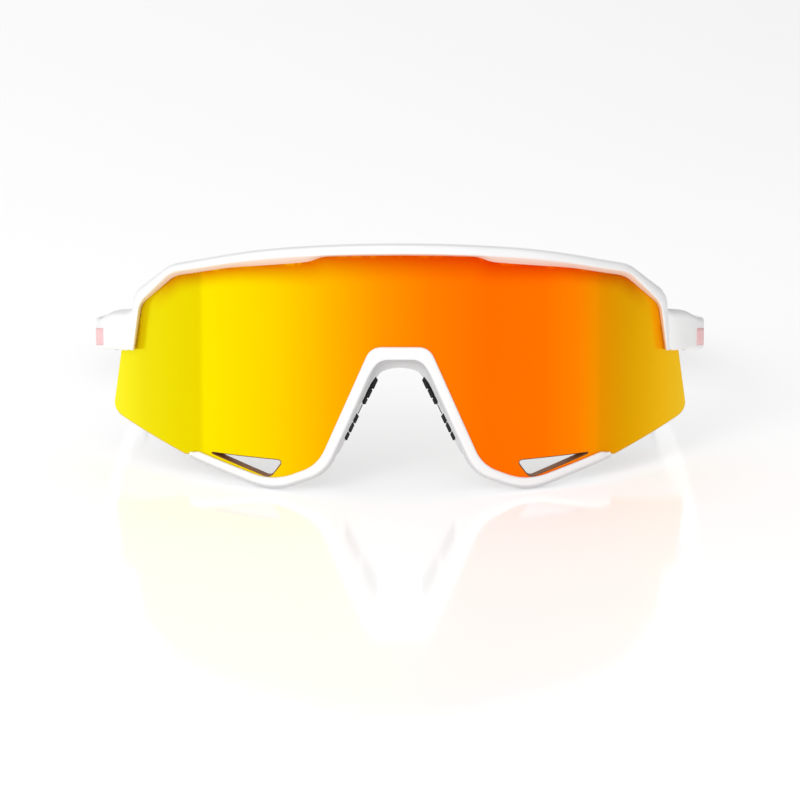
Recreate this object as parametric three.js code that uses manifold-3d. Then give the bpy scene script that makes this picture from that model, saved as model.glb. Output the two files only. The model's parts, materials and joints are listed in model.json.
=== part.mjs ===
// Wraparound sport sunglasses: one cylindrical shield lens held between a brow frame above and
// a W-shaped lower rim below, a nose saddle with two ribbed rubber pads, and two folding
// temples with rubber tips, each on a three-knuckle steel hinge.
//
// Millimetres, +Z up, +Y towards the wearer's ears, x = 0 the plane of symmetry.
// The glasses stand open on a table, on the lower rim and both temple tips. Everything is drawn
// in the lens's own frame (y is depth behind the lens apex, z runs along the lens axis) and the
// whole assembly then leans back by LEAN. The wearer's left is +X: left parts are drawn there,
// and the right ones are the same parts mirrored.

import * as THREE from "three";
import { mergeVertices } from "three/addons/utils/BufferGeometryUtils.js";
import Module from "manifold-3d";

const wasm = await Module();
wasm.setup();

// ---------------------------------------------------------------- driving dimensions

const LEAN = THREE.MathUtils.degToRad(5); // lens axis, backwards from upright
const LENS_RADIUS = 80; // outer face of the cylindrical lens
const LENS_THICKNESS = 1.8;
const RING_SEGMENTS = 120; // facets in a full turn of any surface concentric with the lens
const SLIP = 0.3; // gap between moulded parts that fit into each other

const BROW_PROUD = 2.0; // brow frame in front of the lens face
const BROW_BACK = 3.6; // brow frame's rear face, behind the lens's outer face
const RIM_PROUD = 1.0;
const RIM_BACK = 3.2;

const HINGE = { x: 66.4, y: 44.6, z: 32.2 }; // pin centre, left side
const PARTING_Y = 42.0; // where the end piece stops and the temple starts
const INNER_FACE_X = 68.0; // inner face of end piece and temple at the hinge
const PIN_RADIUS = 0.75;
const PIN_CLEARANCE = 0.1;
const KNUCKLE_RADIUS = 1.9;
const KNUCKLE_RELIEF = 2.25;
const HINGE_HALF_HEIGHT = 3.5;
const MIDDLE_KNUCKLE_HALF = 1.15;
const KNUCKLE_GAP = 0.15;
const LEAF_X = [0.45, 1.4]; // leaf plate, from the pin axis outwards

const SOCK_START_Y = 115.0;
const TANG_END_Y = 150.0;
const TIP_END_Y = 163.0;

// Front-view outlines, left half: [x, z, corner reach]. The reach is how far along each side
// of the corner its rounding starts.
const LENS_OUTLINE = [
  [0, 56.9],
  [17.0, 56.3, 1],
  [20.9, 54.9, 1],
  [39.6, 52.9, 3],
  [52.9, 50.0, 3],
  [61.8, 42.2, 2],
  [62.4, 38.0, 1],
  [65.0, 33.5, 1],
  [65.4, 30.4, 1],
  [67.9, 14.2, 2.4],
  [49.9, 6.8, 0.4],
  [48.6, 7.3, 0.4],
  [29.2, 1.8, 4],
  [18.1, 6.2, 3.5],
  [6.0, 33.3, 2.2],
  [0, 33.3],
];
const BROW_TOP = [
  [0, 58.3],
  [14, 58.0],
  [24, 57.3],
  [33, 56.2],
  [42.3, 54.5, 3],
  [53.6, 51.1, 2],
  [62.5, 43.3, 2],
  [63.9, 39.5, 1],
  [64.2, 29.7],
];
const BROW_UNDERSIDE = [
  [62.4, 29.7],
  [60.6, 41.0, 2],
  [52.3, 48.7, 3],
  [39.3, 51.7, 3],
  [20.9, 53.7, 1],
  [17.6, 55.1, 1],
  [0, 55.8],
];
const RIM_LENS_SIDE = [
  [0, 34.8],
  [6.7, 34.8, 2.4],
  [18.9, 7.0, 3.5],
  [29.2, 2.7, 4],
  [46.4, 8.0, 1],
  [48.6, 7.7, 0.5],
];
const RIM_OUTER_SIDE = [
  [49.6, 6.3, 0.3],
  [29.3, -0.2, 4],
  [16.9, 4.9, 3.5],
  [5.1, 31.7, 2.2],
  [0, 31.7],
];
// One vent slot, a long rounded triangle near the lens's lower edge.
const VENT = [
  [43.9, 8.1, 0.6],
  [26.9, 7.6, 1.6],
  [30.0, 3.5, 1.2],
];

// End piece: plan view (x, y), then side view (y, z).
const END_PIECE_PLAN = [
  [63.2, 28.0],
  [66.6, 31.4, 2],
  [70.3, 36.2, 1.8],
  [72.2, 39.8, 1.6],
  [72.5, PARTING_Y],
  [INNER_FACE_X, PARTING_Y],
  [INNER_FACE_X, 36.6, 1],
  [62.9, 28.9],
];
const END_PIECE_SIDE = [
  [24, 29.7],
  [30, 29.7, 4],
  [PARTING_Y + 1, 28.2],
  [PARTING_Y + 1, 36.2],
  [36, 37.6, 4],
  [24, 39.0],
];

// Temple centreline: [x, y, z] of the section centre, from the hinge to the tip.
const TEMPLE_LINE = [
  [70.2, PARTING_Y, 32.2],
  [71.1, 59.6, 30.3],
  [71.1, 77.8, 28.2],
  [69.9, 98.1, 26.4],
  [68.2, 115.3, 24.7],
  [65.9, 133.6, 22.2],
  [63.4, 148.8, 19.4],
  [61.4, TIP_END_Y, 17.3],
];
// [y, half width, half height] of the moulded arm, its tang and the rubber tip.
const ARM_SIZE = [
  [PARTING_Y, 2.2, 4.0],
  [60, 2.0, 3.9],
  [90, 1.8, 3.5],
  [SOCK_START_Y, 1.9, 3.3],
];
const TANG_SIZE = [
  [SOCK_START_Y, 0.9, 2.0],
  [TANG_END_Y, 0.7, 1.6],
];
const SOCK_SIZE = [
  [SOCK_START_Y, 2.3, 3.7],
  [130, 2.5, 3.9],
  [155, 2.7, 4.5],
  [TIP_END_Y, 2.7, 4.2],
];

// Nose saddle: a swept wall. The path is the wall's middle line at mid depth, from the bottom
// of one leg over the arch; the section is [depth, across], its front edge thicker than its rear.
const SADDLE_PATH = [
  [16.2, 9.0],
  [11.8, 17.6],
  [7.2, 26.6],
  [4.5, 29.4],
  [0, 30.5],
];
const SADDLE_MID_Y = 8.8;
const SADDLE_SECTION = [
  [-5.4, 2.0],
  [-5.4, -0.3],
  [4.3, -1.8],
  [4.3, 0.9],
];

// Nose pad: ribbed block in its own frame, x up the nose, y off the wall, z depth. It sits in a
// pocket of the saddle and its ribs stand taller at both ends than in the middle.
const PAD = {
  length: 16.4,
  depth: 7.5,
  ribHeights: [1.3, 1.55, 1.65, 0.95, 1.65, 1.8, 2.0],
  groove: 0.5,
  grooveDepth: 0.5,
  endSlope: 0.6,
};
const PAD_CENTRE = { x: 10.15, y: 9.0, z: 19.7 };
const PAD_LEAN = THREE.MathUtils.degToRad(27); // from upright, in front view
const PAD_FLARE = THREE.MathUtils.degToRad(9.2); // rear edge turned towards the nose
const PAD_PEG = { radius: 0.7, length: 1.6, along: 4.5 };

// ---------------------------------------------------------------- solids

/** A closed three.js geometry as a manifold-3d solid, turned right way out. */
function solid(geometry) {
  const bare = geometry.clone();
  bare.deleteAttribute("normal");
  bare.deleteAttribute("uv");
  const merged = mergeVertices(bare, 1e-4);
  const vertProperties = merged.attributes.position.array;
  const triVerts = new Uint32Array(merged.index.array);
  const made = new wasm.Manifold(new wasm.Mesh({ numProp: 3, vertProperties, triVerts }));
  if (made.volume() > 0) return made;
  triVerts.reverse();
  return new wasm.Manifold(new wasm.Mesh({ numProp: 3, vertProperties, triVerts }));
}

/** The first solid joined with all the others. */
function join(first, ...others) {
  return others.reduce((sum, other) => sum.add(other), first);
}

/** The first solid with all the others cut away. */
function cut(first, ...others) {
  return others.reduce((rest, other) => rest.subtract(other), first);
}

function geometryOf(manifold) {
  const { vertProperties, triVerts } = manifold.getMesh();
  const geometry = new THREE.BufferGeometry();
  geometry.setAttribute("position", new THREE.BufferAttribute(vertProperties, 3));
  geometry.setIndex(new THREE.BufferAttribute(triVerts, 1));
  geometry.computeVertexNormals();
  return geometry;
}

/** A closed shape through the corners, each rounded by its own reach. */
function softShape(corners) {
  const shape = new THREE.Shape();
  corners.forEach(([x, y, reach = 0], i) => {
    const here = new THREE.Vector2(x, y);
    const [fromX, fromY] = corners.at(i - 1);
    const [toX, toY] = corners[(i + 1) % corners.length];
    const start = new THREE.Vector2(fromX, fromY).sub(here).setLength(reach).add(here);
    const end = new THREE.Vector2(toX, toY).sub(here).setLength(reach).add(here);
    if (i === 0) shape.moveTo(start.x, start.y);
    else shape.lineTo(start.x, start.y);
    if (reach > 0) shape.quadraticCurveTo(x, y, end.x, end.y);
  });
  shape.closePath();
  return shape;
}

/** A left-half outline followed by its mirror image, as one closed list of corners. */
function bothHalves(half) {
  const right = half.filter(([x]) => x > 0).map(([x, y, reach]) => [-x, y, reach]);
  return [...half, ...right.reverse()];
}

/** Corners moved outwards by a distance, measured square to the sides. */
function grown(corners, distance) {
  const turn = THREE.ShapeUtils.isClockWise(corners.map(([x, y]) => ({ x, y }))) ? 1 : -1;
  return corners.map(([x, y, reach], i) => {
    const here = new THREE.Vector2(x, y);
    const before = here.clone().sub(new THREE.Vector2(...corners.at(i - 1))).normalize();
    const after = new THREE.Vector2(...corners[(i + 1) % corners.length]).sub(here).normalize();
    const normal = new THREE.Vector2(-before.y - after.y, before.x + after.x).normalize();
    const stretch = Math.max(0.5, -normal.x * before.y + normal.y * before.x);
    return [x + (turn * normal.x * distance) / stretch, y + (turn * normal.y * distance) / stretch, reach];
  });
}

/** A front-view shape (x, z) run through the object from one depth to another. */
function frontSlab(corners, fromY, toY) {
  const options = { depth: toY - fromY, bevelEnabled: false, curveSegments: 4 };
  const geometry = new THREE.ExtrudeGeometry(softShape(corners), options);
  return solid(geometry.rotateX(Math.PI / 2).translate(0, toY, 0));
}

/** A plan-view shape (x, y) run up from one height to another. */
function planSlab(corners, fromZ, toZ) {
  const options = { depth: toZ - fromZ, bevelEnabled: false, curveSegments: 4 };
  return solid(new THREE.ExtrudeGeometry(softShape(corners), options).translate(0, 0, fromZ));
}

/** A side-view shape (y, z) run across from one x to another. */
function sideSlab(corners, fromX, toX) {
  const options = { depth: toX - fromX, bevelEnabled: false, curveSegments: 4 };
  const geometry = new THREE.ExtrudeGeometry(softShape(corners), options);
  const upright = new THREE.Matrix4().makeBasis(
    new THREE.Vector3(0, 1, 0),
    new THREE.Vector3(0, 0, 1),
    new THREE.Vector3(1, 0, 0),
  );
  return solid(geometry.applyMatrix4(upright).translate(fromX, 0, 0));
}

/** The space between two distances behind the lens's outer face; negative is in front of it. */
function layer(front, back) {
  const [inner, outer] = [LENS_RADIUS - back, LENS_RADIUS - front];
  const corners = [
    [inner, -10],
    [outer, -10],
    [outer, 70],
    [inner, 70],
    [inner, -10],
  ];
  const profile = corners.map((corner) => new THREE.Vector2(...corner));
  const ring = new THREE.LatheGeometry(profile, RING_SEGMENTS);
  return solid(ring.rotateX(Math.PI / 2).translate(0, LENS_RADIUS, 0));
}

function box([x0, x1], [y0, y1], [z0, z1]) {
  const geometry = new THREE.BoxGeometry(x1 - x0, y1 - y0, z1 - z0);
  return solid(geometry.translate((x0 + x1) / 2, (y0 + y1) / 2, (z0 + z1) / 2));
}

/** A rod between two values along one axis ("x", "y" or "z"), through a centre point. */
function rod(axis, radius, from, to, centre = { x: 0, y: 0, z: 0 }, sides = 20) {
  const geometry = new THREE.CylinderGeometry(radius, radius, to - from, sides);
  if (axis === "x") geometry.rotateZ(Math.PI / 2);
  if (axis === "z") geometry.rotateX(Math.PI / 2);
  const middle = { ...centre, [axis]: (from + to) / 2 };
  return solid(geometry.translate(middle.x, middle.y, middle.z));
}

/** Straight-line value of a [y, ...values] table at a given y. */
function sizeAt(table, y) {
  const next = Math.max(1, table.findIndex((row) => row[0] >= y));
  const [low, high] = [table[next - 1], table[next]];
  const share = (y - low[0]) / (high[0] - low[0]);
  return low.slice(1).map((value, i) => THREE.MathUtils.lerp(value, high[i + 1], share));
}

const templeCurve = new THREE.CatmullRomCurve3(TEMPLE_LINE.map((p) => new THREE.Vector3(...p)));

/** Centre of the temple's section at a given depth y. */
function templeCentre(y) {
  let [low, high] = [0, 1];
  for (let i = 0; i < 30; i++) {
    const middle = (low + high) / 2;
    if (templeCurve.getPoint(middle).y < y) low = middle;
    else high = middle;
  }
  return templeCurve.getPoint(low);
}

/**
 * A bar along the temple line from one depth to another, with a rounded-rectangle section
 * whose half sizes come from a table, grown all round, and its last few millimetres rounded off.
 */
function templeBar(table, fromY, toY, { grow = 0, round = 0, rings = 24, sides = 16 } = {}) {
  const SQUARENESS = 0.62;
  const bulge = (v) => Math.sign(v) * Math.abs(v) ** SQUARENESS;
  const geometry = new THREE.CylinderGeometry(1, 1, 1, sides, rings);
  const position = geometry.attributes.position;
  for (let i = 0; i < position.count; i++) {
    const y = THREE.MathUtils.lerp(fromY, toY, 0.5 - position.getY(i));
    const [halfWidth, halfHeight] = sizeAt(table, THREE.MathUtils.clamp(y, table[0][0], table.at(-1)[0]));
    const past = Math.max(0, y - (toY - round));
    const taper = round > 0 ? Math.sqrt(1 - 0.9 * (past / round) ** 2) : 1;
    const centre = templeCentre(y);
    position.setXYZ(
      i,
      centre.x + bulge(position.getX(i)) * (halfWidth * taper + grow),
      y,
      centre.z + bulge(position.getZ(i)) * (halfHeight * taper + grow),
    );
  }
  return solid(geometry);
}

// ---------------------------------------------------------------- the front

const floor = solid(new THREE.BoxGeometry(200, 400, 40).translate(0, 80, -20).rotateX(LEAN));
const FAR_BACK = 60; // deeper than any front part
const lensGroove = frontSlab(grown(bothHalves(LENS_OUTLINE), SLIP), -5, FAR_BACK).intersect(
  layer(-SLIP, LENS_THICKNESS + SLIP),
);

function makeLens() {
  const blank = frontSlab(bothHalves(LENS_OUTLINE), -5, FAR_BACK).intersect(layer(0, LENS_THICKNESS));
  const vent = frontSlab(VENT, -5, 25);
  return cut(blank, vent, vent.mirror([1, 0, 0]));
}

/** Block that carries the brow round to the hinge, left side. */
function makeEndPiece() {
  const block = planSlab(END_PIECE_PLAN, 20, 45).intersect(sideSlab(END_PIECE_SIDE, 55, 80));
  return cut(
    block,
    layer(-SLIP, BROW_BACK + 2).intersect(box([55, 66.3], [20, 38], [20, 45])),
    rod("z", KNUCKLE_RELIEF, 20, 45, HINGE),
    leafScrewHole(HINGE.y - 5.2, HINGE.x + 5),
  );
}

function makeBrow() {
  const band = frontSlab(bothHalves([...BROW_TOP, ...BROW_UNDERSIDE]), -5, FAR_BACK);
  const endPiece = makeEndPiece();
  return cut(
    join(band.intersect(layer(-BROW_PROUD, BROW_BACK)), endPiece, endPiece.mirror([1, 0, 0])),
    lensGroove,
  );
}

const SADDLE_PEGS = [
  { x: 12.6, z: 16.4 },
  { x: 8.7, z: 25.2 },
];
const PEG_RADIUS = 0.5;
const PEG_Y = [2.9, 6.5];

function saddlePegs(grow) {
  const left = SADDLE_PEGS.map(({ x, z }) =>
    rod("y", PEG_RADIUS + grow, PEG_Y[0] - grow, PEG_Y[1], { x, y: 0, z }, 12),
  );
  return left.flatMap((peg) => [peg, peg.mirror([1, 0, 0])]);
}

function makeLowerRim() {
  const band = frontSlab(bothHalves([...RIM_LENS_SIDE, ...RIM_OUTER_SIDE]), -5, FAR_BACK);
  return cut(band.intersect(layer(-RIM_PROUD, RIM_BACK)), lensGroove, floor, ...saddlePegs(0.15));
}

/** Holds both nose pads: a flared wall that follows the nose opening behind the rim. */
function makeSaddle() {
  const half = SADDLE_PATH.map(([x, z]) => new THREE.Vector3(x, SADDLE_MID_Y, z));
  const other = half.slice(0, -1).map((p) => new THREE.Vector3(-p.x, p.y, p.z));
  const path = new THREE.CatmullRomCurve3([...half, ...other.reverse()]);
  const section = new THREE.Shape(SADDLE_SECTION.map(([depth, across]) => new THREE.Vector2(-depth, across)));
  const wall = new THREE.ExtrudeGeometry(section, { steps: 40, bevelEnabled: false, extrudePath: path });
  const rimSpace = frontSlab(bothHalves([...RIM_LENS_SIDE, ...RIM_OUTER_SIDE]), -5, FAR_BACK);
  const rimAndGap = rimSpace.intersect(layer(-RIM_PROUD, RIM_BACK + SLIP));
  const body = cut(solid(wall), rimAndGap, lensGroove);
  const pocket = leftPadPocket();
  return cut(join(body, ...saddlePegs(0)), pocket, pocket.mirror([1, 0, 0]));
}

const padPlacement = new THREE.Matrix4()
  .makeTranslation(PAD_CENTRE.x, PAD_CENTRE.y, PAD_CENTRE.z)
  .multiply(new THREE.Matrix4().makeRotationY(-PAD_LEAN))
  .multiply(new THREE.Matrix4().makeRotationZ(PAD_FLARE))
  .multiply(
    new THREE.Matrix4().makeBasis(
      new THREE.Vector3(0, 0, 1),
      new THREE.Vector3(-1, 0, 0),
      new THREE.Vector3(0, 1, 0),
    ),
  );

/** The two rubber pegs on the back of the left pad, in place. */
function leftPadPegs(grow) {
  const { radius, length, along } = PAD_PEG;
  return [-along, along].map((centre) => {
    const peg = new THREE.CylinderGeometry(radius + grow, radius + grow, length + 2 * grow, 12);
    return solid(peg.translate(centre, -length / 4, 0).applyMatrix4(padPlacement));
  });
}

/** Space cut out of the saddle for the left pad and its pegs. */
function leftPadPocket() {
  const size = [PAD.length + 2 * SLIP, 5, PAD.depth + 2 * SLIP];
  const recess = new THREE.BoxGeometry(...size).translate(0, size[1] / 2 - SLIP, 0);
  return join(solid(recess.applyMatrix4(padPlacement)), ...leftPadPegs(SLIP / 2));
}

function makeLeftPad() {
  const { length, depth, ribHeights, groove, grooveDepth, endSlope } = PAD;
  const pitch = length / ribHeights.length;
  const shape = new THREE.Shape();
  shape.moveTo(length / 2, 0);
  shape.lineTo(-length / 2, 0);
  ribHeights.forEach((height, i) => {
    const start = -length / 2 + i * pitch;
    const first = i === 0;
    const last = i === ribHeights.length - 1;
    if (!first) shape.lineTo(start + groove / 2, height - grooveDepth);
    shape.lineTo(start + (first ? endSlope : groove / 2), height);
    shape.lineTo(start + pitch - (last ? endSlope : groove / 2), height);
    if (!last) shape.lineTo(start + pitch - groove / 2, height - grooveDepth);
  });
  const geometry = new THREE.ExtrudeGeometry(shape, { depth, bevelEnabled: false });
  const block = solid(geometry.translate(0, 0, -depth / 2).applyMatrix4(padPlacement));
  return join(block, ...leftPadPegs(0));
}

// ---------------------------------------------------------------- the hinge, left side

const LEAF_SCREW = { radius: 0.55, headRadius: 1.1, headHeight: 0.5, clearance: 0.1 };

/** Hole for a leaf screw, straight across from the leaf to an x inside the moulding. */
function leafScrewHole(y, toX) {
  const radius = LEAF_SCREW.radius + LEAF_SCREW.clearance;
  return rod("x", radius, HINGE.x - 2, toX, { x: 0, y, z: HINGE.z }, 12);
}

function makeLeafScrew(y, length) {
  const inner = HINGE.x + LEAF_X[0] - 0.05;
  const centre = { x: 0, y, z: HINGE.z };
  const head = rod("x", LEAF_SCREW.headRadius, inner - LEAF_SCREW.headHeight, inner, centre, 16);
  const shank = rod("x", LEAF_SCREW.radius, inner - 0.2, inner + length, centre, 12);
  const slot = box(
    [inner - 1, inner - LEAF_SCREW.headHeight / 2],
    [y - 0.15, y + 0.15],
    [HINGE.z - 2, HINGE.z + 2],
  );
  return cut(join(head, shank), slot);
}

function leafPlate([y0, y1], halfHeight) {
  const { x, y, z } = HINGE;
  return box([x + LEAF_X[0], x + LEAF_X[1]], [y + y0, y + y1], [z - halfHeight, z + halfHeight]);
}

function knuckle(from, to) {
  return rod("z", KNUCKLE_RADIUS, HINGE.z + from, HINGE.z + to, HINGE);
}

const pinHole = rod("z", PIN_RADIUS + PIN_CLEARANCE, 20, 45, HINGE, 16);
const FRAME_SCREW_Y = HINGE.y - 5.2;
const TEMPLE_SCREW_Y = HINGE.y + 6.6;

function makeFrameLeaf() {
  const middle = MIDDLE_KNUCKLE_HALF + KNUCKLE_GAP;
  const { x, y, z } = HINGE;
  const clearance = box([x - 3, x + 3], [y - KNUCKLE_RELIEF, y + 3], [z - middle, z + middle]);
  const ears = join(knuckle(middle, HINGE_HALF_HEIGHT), knuckle(-HINGE_HALF_HEIGHT, -middle));
  return cut(
    join(leafPlate([-7.3, 0], HINGE_HALF_HEIGHT), ears),
    clearance,
    pinHole,
    leafScrewHole(FRAME_SCREW_Y, HINGE.x + 3),
  );
}

function makeTempleLeaf() {
  const neck = leafPlate([0, 3], MIDDLE_KNUCKLE_HALF);
  const plate = leafPlate([2.4, 9.4], 2.6);
  return cut(
    join(knuckle(-MIDDLE_KNUCKLE_HALF, MIDDLE_KNUCKLE_HALF), neck, plate),
    pinHole,
    leafScrewHole(TEMPLE_SCREW_Y, HINGE.x + 3),
  );
}

function makeHingeScrew() {
  const top = HINGE.z + HINGE_HALF_HEIGHT;
  const shank = rod("z", PIN_RADIUS, HINGE.z - HINGE_HALF_HEIGHT, top + 0.2, HINGE, 16);
  const head = rod("z", 1.35, top + 0.05, top + 0.65, HINGE, 20);
  const slot = box([HINGE.x - 2, HINGE.x + 2], [HINGE.y - 0.2, HINGE.y + 0.2], [top + 0.35, top + 1]);
  return cut(join(shank, head), slot);
}

// ---------------------------------------------------------------- the temple, left side

function makeArm() {
  const { x, y, z } = HINGE;
  const arm = templeBar(ARM_SIZE, PARTING_Y + 0.15, SOCK_START_Y, { rings: 20 });
  const tang = templeBar(TANG_SIZE, SOCK_START_Y - 6, TANG_END_Y, { rings: 12, sides: 12 });
  const leafSeat = box([INNER_FACE_X, x + 4], [y - 2, y + 10], [z - 2.9, z + 2.9]);
  const hingeSide = box([x - 5, INNER_FACE_X], [y - 4, y + 12], [z - 6, z + 6]);
  return cut(
    join(arm, tang, leafSeat),
    hingeSide,
    rod("z", KNUCKLE_RELIEF, 20, 45, HINGE),
    leafScrewHole(TEMPLE_SCREW_Y, x + 4.4),
  );
}

function makeSock() {
  const sock = templeBar(SOCK_SIZE, SOCK_START_Y + SLIP, TIP_END_Y, { round: 5, rings: 24 });
  const pocket = templeBar(TANG_SIZE, SOCK_START_Y - 2, TANG_END_Y + SLIP, { grow: 0.25, rings: 12, sides: 12 });
  return cut(sock, pocket, floor);
}

// ---------------------------------------------------------------- materials and assembly

const finish = (color, roughness, metalness = 0) =>
  new THREE.MeshStandardMaterial({ color, roughness, metalness });
const whitePlastic = finish(0xf4f3f3, 0.5);
const mirrorLens = finish(0xff8200, 0.08, 0.6);
const blackRubber = finish(0x1b1b1d, 0.8);
const steel = finish(0xb9bcc0, 0.35, 1);

function part(name, manifold, material) {
  const mesh = new THREE.Mesh(geometryOf(manifold), material);
  mesh.name = name;
  return mesh;
}

/** Everything that comes in pairs, as one side's group. The right side is mirrored. */
function makeSide(side) {
  const group = new THREE.Group();
  const front = new THREE.Group();
  front.add(
    part(`${side}_nose_pad`, makeLeftPad(), blackRubber),
    part(`${side}_frame_leaf`, makeFrameLeaf(), steel),
    part(`${side}_frame_leaf_screw`, makeLeafScrew(FRAME_SCREW_Y, 4), steel),
    part(`${side}_hinge_screw`, makeHingeScrew(), steel),
  );
  const temple = new THREE.Group();
  temple.add(
    part(`${side}_temple_arm`, makeArm(), whitePlastic),
    part(`${side}_temple_tip`, makeSock(), blackRubber),
    part(`${side}_temple_leaf`, makeTempleLeaf(), steel),
    part(`${side}_temple_leaf_screw`, makeLeafScrew(TEMPLE_SCREW_Y, 3.4), steel),
  );
  group.add(front, temple);
  if (side === "right") group.scale.x = -1;
  return group;
}

const glasses = new THREE.Group();
glasses.add(
  part("brow_frame", makeBrow(), whitePlastic),
  part("shield_lens", makeLens(), mirrorLens),
  part("lower_rim", makeLowerRim(), whitePlastic),
  part("nose_saddle", makeSaddle(), whitePlastic),
  makeSide("left"),
  makeSide("right"),
);
glasses.rotation.x = -LEAN;

// The origin is the middle of the footprint, on the table.
const model = new THREE.Group();
model.add(glasses);
model.updateMatrixWorld(true);
const extent = new THREE.Box3().setFromObject(model, true);
glasses.position.y = -(extent.min.y + extent.max.y) / 2;

export default model;
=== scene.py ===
"""Wraparound sport sunglasses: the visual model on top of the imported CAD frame.

Outlines are drawn in millimetres in the lens's own frame: x across, y depth behind the lens
apex, h up along the lens axis. in_row() leans that frame back and puts it in the row frame.
The wearer's left is +X; right-hand pieces mirror the left-hand ones.
"""
import json
from math import atan2, cos, pi, radians, sin, sqrt

import bmesh
import bpy
from mathutils import Matrix, Vector, geometry


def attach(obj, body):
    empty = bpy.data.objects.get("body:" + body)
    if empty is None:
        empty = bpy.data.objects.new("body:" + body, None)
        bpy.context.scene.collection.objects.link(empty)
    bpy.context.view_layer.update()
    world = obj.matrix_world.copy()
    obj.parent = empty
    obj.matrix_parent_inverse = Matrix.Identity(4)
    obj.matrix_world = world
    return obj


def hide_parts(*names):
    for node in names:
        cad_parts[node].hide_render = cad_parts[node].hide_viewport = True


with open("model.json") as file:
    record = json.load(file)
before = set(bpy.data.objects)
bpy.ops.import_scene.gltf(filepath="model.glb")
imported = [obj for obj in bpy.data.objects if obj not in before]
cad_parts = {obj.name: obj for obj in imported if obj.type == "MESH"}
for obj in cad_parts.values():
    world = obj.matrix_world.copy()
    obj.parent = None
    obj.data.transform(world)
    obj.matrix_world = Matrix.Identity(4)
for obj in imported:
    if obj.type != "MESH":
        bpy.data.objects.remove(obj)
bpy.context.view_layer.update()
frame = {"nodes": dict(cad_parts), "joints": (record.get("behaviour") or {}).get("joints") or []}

# ---------------------------------------------------------------- driving dimensions, mm

LEAN = radians(5)  # how far the lens leans back on the floor
LENS_RADIUS = 80.0
LENS_THICKNESS = 1.8
LENS_BREAK = 0.22  # how much the lens's edges are broken
BROW_PROUD = 1.95  # in front of the lens's outer face
BROW_BACK = 3.5  # behind the lens's outer face
RIM_PROUD = 0.95
RIM_BACK = 3.15
GROOVE_BACK = 2.12  # where the grooves that hold the lens end, behind its outer face
INNER_FACE_X = 68.0  # flat inner face of the arms at the hinge
TIP_END_Y = 162.9
HINGE = (66.4, 44.6, 32.2)  # centre of the left pin

# Corners are (x, h, reach): reach is how far along each side the rounding of the corner starts.
LENS_OUTLINE = [
    (0, 56.8, 0), (17.0, 56.2, 1), (20.9, 54.8, 1), (39.6, 52.8, 3), (52.9, 49.9, 3),
    (61.8, 42.1, 2), (62.4, 38.0, 1), (65.2, 33.5, 1), (65.8, 30.4, 1), (68.3, 14.2, 2.6),
    (49.9, 6.85, 0.5), (48.6, 7.4, 0.5), (29.2, 1.9, 4), (18.1, 6.2, 3.5), (6.0, 33.4, 2.2),
    (0, 33.4, 0),
]
VENT = [(43.9, 8.1, 0.7), (26.9, 7.6, 1.6), (30.0, 3.5, 1.3)]
VENT_TAPER = (0.87, 0.93)  # width and height of a vent at the back of the lens, as shares of the front

# Each band is drawn between matched corner lists, from the middle of the front outwards.
BROW_TOP = [
    (0, 58.1, 0), (12, 58.0, 9), (33, 56.1, 10), (53.4, 51.0, 2.2), (62.6, 43.2, 2.0),
    (63.9, 30.0, 0),
]
BROW_FRONT_EDGE = [
    (0, 56.1, 0), (12, 56.0, 9), (33, 54.35, 10), (53.3, 49.7, 2.2), (61.1, 41.5, 2.2),
    (62.7, 30.0, 0),
]
BROW_LENS_EDGE = [
    (0, 55.6, 0), (10, 55.5, 6), (17.6, 55.1, 1.2), (20.9, 53.8, 1.2), (39.3, 51.7, 4),
    (52.3, 48.7, 1.8), (60.6, 41.0, 1.6), (62.4, 30.0, 0),
]

RIM_LENS_SIDE = [
    (0, 34.6, 0), (6.7, 34.6, 2.6), (18.9, 7.0, 3.8), (29.2, 2.7, 5), (46.8, 8.0, 0.4),
    (49.0, 7.6, 0),
]
RIM_OUTER_SIDE = [
    (0, 31.45, 0), (5.0, 31.45, 2.4), (16.5, 4.85, 4.2), (29.3, -0.1, 5.5), (48.0, 5.75, 1.0),
    (49.5, 6.35, 0),
]

# Middle of the left temple, as (x, y, h).
TEMPLE_LINE = [
    (70.2, 42.0, 32.2), (71.1, 59.6, 30.3), (71.1, 77.8, 28.2), (69.9, 98.1, 26.4),
    (68.2, 115.3, 24.7), (65.9, 133.6, 22.2), (63.4, 148.8, 19.4), (61.4, 163.0, 17.3),
]

MM = 0.001
FLOOR_CLEARANCE = 0.00002  # metres; the rubber tips stay this far above the floor


# ---------------------------------------------------------------- frame and curves

def find_row_shift():
    """How far the row's origin is from the lens apex frame, along Y, read off the hinge."""
    pin = frame["joints"][0]["pos_m"]
    return pin[1] / MM - (HINGE[1] * cos(LEAN) + HINGE[2] * sin(LEAN))


ROW_SHIFT = find_row_shift()


def in_row(x, y, h):
    """A point of the lens frame, in mm, as a point of the row frame, in metres."""
    back = y * cos(LEAN) + h * sin(LEAN) + ROW_SHIFT
    up = h * cos(LEAN) - y * sin(LEAN)
    return Vector((x * MM, back * MM, up * MM))


def shell_depth(x, proud):
    """Depth y of the surface that stands proud of the lens's outer face, at x."""
    return LENS_RADIUS - sqrt((LENS_RADIUS + proud) ** 2 - x * x)


def on_shell(x, h, proud):
    """The point at x and h on the surface that stands proud of the lens's outer face."""
    return (x, shell_depth(x, proud), h)


def lerp(a, b, t):
    return a + (b - a) * t


def smooth(t):
    t = min(1.0, max(0.0, t))
    return t * t * (3 - 2 * t)


def ease(low, high, value):
    """0 below low, 1 above high, smooth between."""
    return smooth((value - low) / (high - low))


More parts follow.
